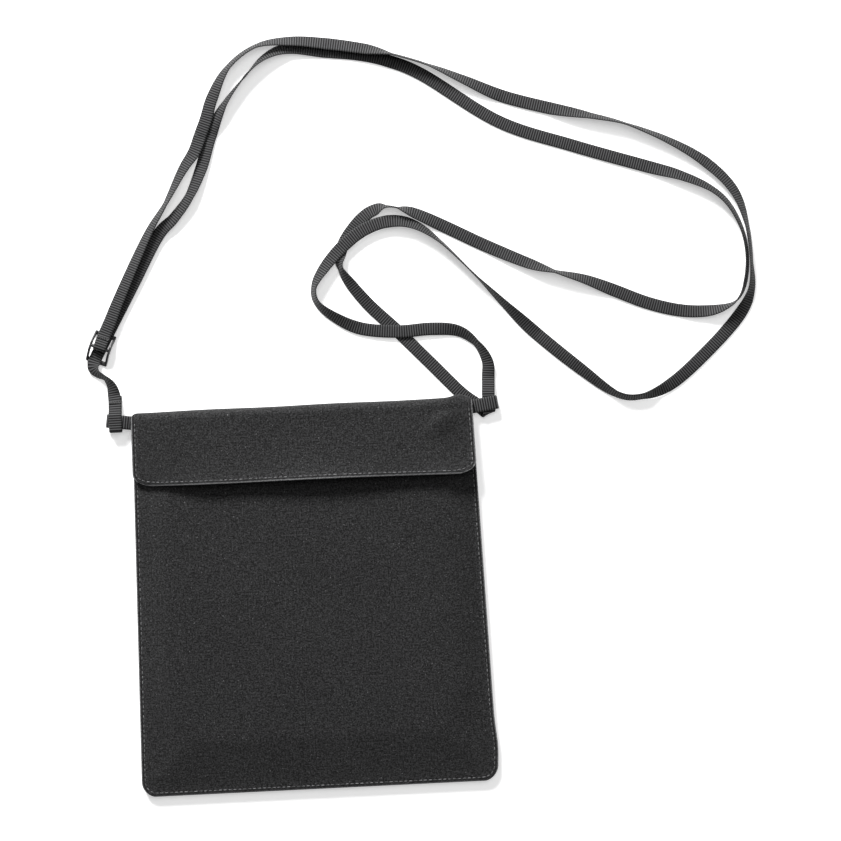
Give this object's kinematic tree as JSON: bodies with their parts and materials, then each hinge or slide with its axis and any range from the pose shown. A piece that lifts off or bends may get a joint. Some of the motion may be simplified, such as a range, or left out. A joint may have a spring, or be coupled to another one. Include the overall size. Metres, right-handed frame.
{
  "type": "neck pouch wallet",
  "caption": "Flat canvas neck pouch with a fold-over flap, hung from a long narrow ribbed webbing strap with a plastic slider.",
  "frame": {"origin": "on the table under the middle of the pouch and its tabs, which lies on its back; the strap is left out of this middle", "axes": "+X across the pouch to the right as seen from the front, +Y up the pouch towards the flap and strap, +Z out of the front of the pouch"},
  "size_m": [0.3041, 0.3395, 0.0097],
  "materials": {
    "canvas": "plain-woven canvas, matt, with fine pale flecks",
    "lining": "thin woven lining cloth, slight sheen",
    "binding": "folded lining cloth",
    "webbing": "narrow grosgrain webbing with cross ribs",
    "thread": "spun polyester sewing thread",
    "loop_tape": "fuzzy loop tape",
    "hook_tape": "moulded nylon hooks",
    "plastic": "semi-gloss moulded acetal"
  },
  "bodies": {
    "pouch": {"back_panel": "canvas", "back_lining": "lining", "slip_pocket": "lining", "slip_pocket_hem": "binding", "front_panel": "canvas", "front_lining": "lining", "mouth_hem": "canvas", "mouth_stitching": "thread", "loop_tape": "loop_tape", "seam_stitching": "thread", "left_tab": "webbing", "right_tab": "webbing", "tab_bartacks": "thread", "neck_strap": "webbing", "strap_tail_bartack": "thread", "flap_fold": "canvas"},
    "flap": {"flap_outer": "canvas", "flap_lining": "lining", "flap_stitching": "thread", "hook_tape": "hook_tape"},
    "slider": {"strap_slider": "plastic", "strap_sewn_end": "webbing", "sewn_end_bartack": "thread"}
  },
  "joints": [
    {"name": "flap_fold_hinge", "type": "hinge", "parent": "pouch", "child": "flap", "pos_m": [0, 0.0865, 0.006], "axis": [-1, 0, 0], "range_deg": [0, 170], "deforming": ["flap_fold"]},
    {"name": "slider_travel", "type": "slide", "parent": "pouch", "child": "slider", "axis": [0.4924, 0.8704, 0], "range_m": [0, 0.03], "deforming": ["strap_sewn_end"]}
  ]
}
